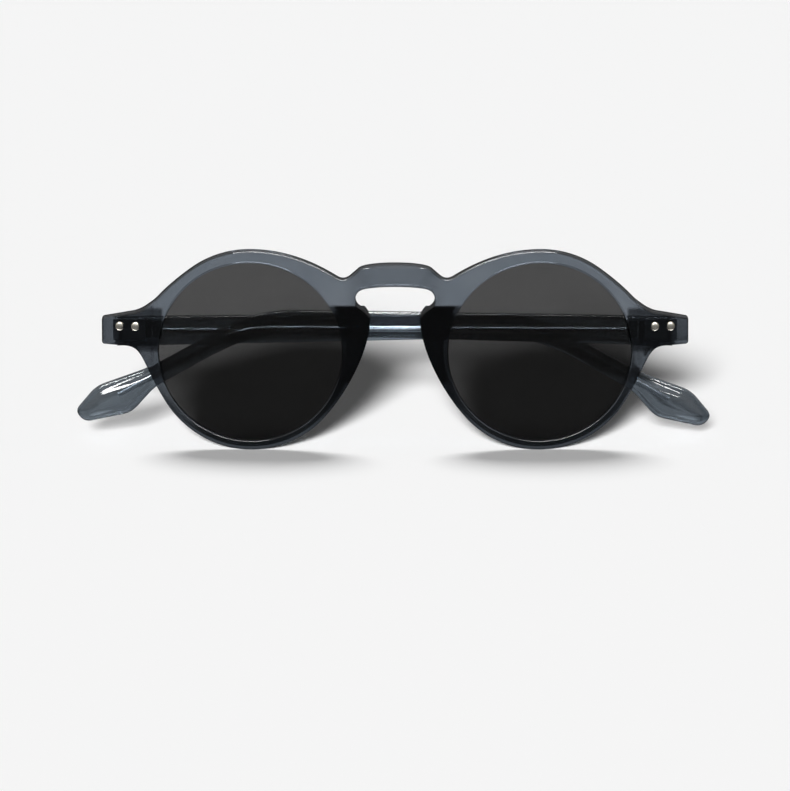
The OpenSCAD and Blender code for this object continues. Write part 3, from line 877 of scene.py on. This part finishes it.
def addStrip(name, targets):
    values = stripValues[name]
    data = bpy.data.lights.new(name, "AREA")
    data.shape = "RECTANGLE"
    data.size, data.size_y = values["size"]
    data.energy = values["glow"] * math.pi * data.size * data.size_y
    strip = bpy.data.objects.new(name, data)
    strip.location = values["place"]
    strip.rotation_mode = "QUATERNION"
    strip.rotation_quaternion = (Vector(stripAim) - strip.location).to_track_quat("-Z", "Y")
    strip.visible_camera = False
    bpy.context.scene.collection.objects.link(strip)
    strip.light_linking.receiver_collection = collected(name + "Lights", targets)


def makeFloor(name, near, far):
    bpy.ops.object.select_all(action="DESELECT")
    bpy.ops.mesh.primitive_plane_add(size=1, location=(0, (near + far) / 2, 0))
    floor = bpy.context.active_object
    floor.name = name
    bpy.ops.transform.resize(value=(stageValues["floorSize"], far - near, 1))
    bpy.ops.object.transform_apply(location=True, rotation=True, scale=True)
    return floor


# Matt white paper in two sheets, near and far; in reflections it is dark
def makePapers():
    sv = stageValues
    seam, edge = sv["seam"] * mm, sv["floorSize"] / 2
    papers = [makeFloor("nearPaper", -edge, seam), makeFloor("farPaper", seam, edge)]
    material, tree = newMaterial("paperFloor")
    seen = rayIs(tree, "Is Camera Ray", "Is Transmission Ray")
    colour = addNode(tree, "Mix", {"data_type": "RGBA"}, {"Factor": seen})
    for socket, grey in ((6, sv["floorGlare"]), (7, sv["paper"])):
        colour.inputs[socket].default_value = (grey, grey, grey, 1)
    shader = addNode(tree, "BsdfDiffuse", None, {"Color": colour.outputs[2]})
    addNode(tree, "OutputMaterial", None, {"Surface": shader.outputs["BSDF"]})
    for paper in papers:
        paper.data.materials.append(material)
    return papers


# The room: dim for the shadows, plain where it is seen, and in reflections bright only overhead
def makeRoom():
    sv = stageValues
    world = bpy.data.worlds.new("studio")
    bpy.context.scene.world = world
    world.use_nodes = True
    tree = world.node_tree
    tree.nodes.clear()
    direction = addNode(tree, "TexCoord").outputs["Generated"]
    upward = addNode(tree, "SeparateXYZ", None, {"Vector": direction})
    dome = addNode(tree, "MapRange", sv["dome"], {"Value": upward.outputs["Z"]})
    shine = addNode(tree, "Mix", {"data_type": "FLOAT", "A": sv["ambient"]},
                    {"Factor": rayIs(tree, "Is Glossy Ray"), "B": dome.outputs["Result"]})
    seen = addNode(tree, "Mix", {"data_type": "FLOAT", "B": sv["background"]},
                   {"Factor": rayIs(tree, "Is Camera Ray", "Is Transmission Ray"), "A": shine.outputs[0]})
    light = addNode(tree, "Background", {"Color": (1, 1, 1, 1)}, {"Strength": seen.outputs[0]})
    addNode(tree, "OutputWorld", None, {"Surface": light.outputs["Background"]})


# The keys lie low in front, for the shadow that is seen through the lenses. The back key gives the
# shadow that falls towards the camera, and lights only the paper in front of the rims
def makeStage(front, lenses, pads, temples, rivets):
    nearPaper, farPaper = makePapers()
    makeRoom()
    addSun("farKey", farPaper)
    addSun("frontKey", farPaper, [front, *lenses])
    addSun("nearFill", nearPaper)
    addSun("backKey", nearPaper, lenses)
    addStrip("topStrip", [front, *pads, *temples, *rivets])
    for name in ("browStrip", "rearStrip", "overStrip"):
        addStrip(name, temples)


cameraValues = {
    "lift": 8.0,  # degrees above level
    "distance": 1600.0,
    "seen": 180.4,  # width of what it sees at the aim
    "aim": (-0.02, -5.0, 12.2),
}


def makeCamera():
    cv = cameraValues
    lift = math.radians(cv["lift"])
    aim = Vector(cv["aim"])
    eye = aim + cv["distance"] * Vector((0, -math.cos(lift), math.sin(lift)))
    data = bpy.data.cameras.new("camera")
    data.sensor_width = 36.0
    data.lens = data.sensor_width * cv["distance"] / cv["seen"]
    data.clip_start, data.clip_end = 0.05, 50  # metres
    camera = bpy.data.objects.new("camera", data)
    camera.location = eye * mm
    camera.rotation_mode = "QUATERNION"
    camera.rotation_quaternion = (aim - eye).to_track_quat("-Z", "Y")
    bpy.context.scene.collection.objects.link(camera)
    bpy.context.scene.camera = camera


makeCamera()
print("camera ready")

# The front is darkened in places with painted shade
frontAcetate = crystalAcetate("frontAcetate", paintedShadePlaces)
templeAcetate = crystalAcetate("templeAcetate")
padAcetate = crystalAcetate("thickAcetate")
tint = tintedLens()
rivetSteel = stainlessSteel("turnedRivetSteel")
hingeSteel = stainlessSteel("brushedHingeSteel")
wireSteel = stainlessSteel("drawnCoreWire")
print("materials ready")

front = makeFront()
dress(front, frontAcetate)
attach(front, "front")
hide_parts("front_frame")
print("front made")

lenses, temples, pads = [], [], []
for side, word in ((1, "left"), (-1, "right")):
    lens = makeLens(side, word + "Lens")
    dress(lens, tint)
    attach(lens, "front")
    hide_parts(*["lens_%s_%s" % (word, layer) for layer in ("outer_ply", "film", "inner_ply")])
    temple = makeTemple(side, word + "Temple")
    dress(temple, templeAcetate)
    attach(temple, "temple_" + word)
    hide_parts("temple_" + word)
    pad = makePad("nose_pad_" + word, word + "NosePad")
    dress(pad, padAcetate)
    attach(pad, "front")
    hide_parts("nose_pad_" + word)
    lenses.append(lens)
    temples.append(temple)
    pads.append(pad)
print("lenses, temples and pads made")

pattern = makeRivet("rivetPattern", ts["thickness"])
dress(pattern, rivetSteel)
rivets = []  # only the front ones are lit by a strip
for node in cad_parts:
    if node.startswith("front_rivet"):
        rivets.append(setRivet(pattern, node, -1, "front"))
    elif node.startswith("temple_rivet"):
        setRivet(pattern, node, 1, "temple_left" if "left" in node else "temple_right")
bpy.data.objects.remove(pattern)
print("rivets set")

for name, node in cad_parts.items():
    if "screw" in name:
        dress(node, rivetSteel)
    elif "wire" in name:
        dress(node, wireSteel)
    elif "hinge" in name:
        dress(node, hingeSteel)
print("hinges, screws and core wires dressed")

makeStage(front, lenses, pads, temples, rivets)
print("stage ready")

bpy.context.scene.view_settings.view_transform = "Standard"
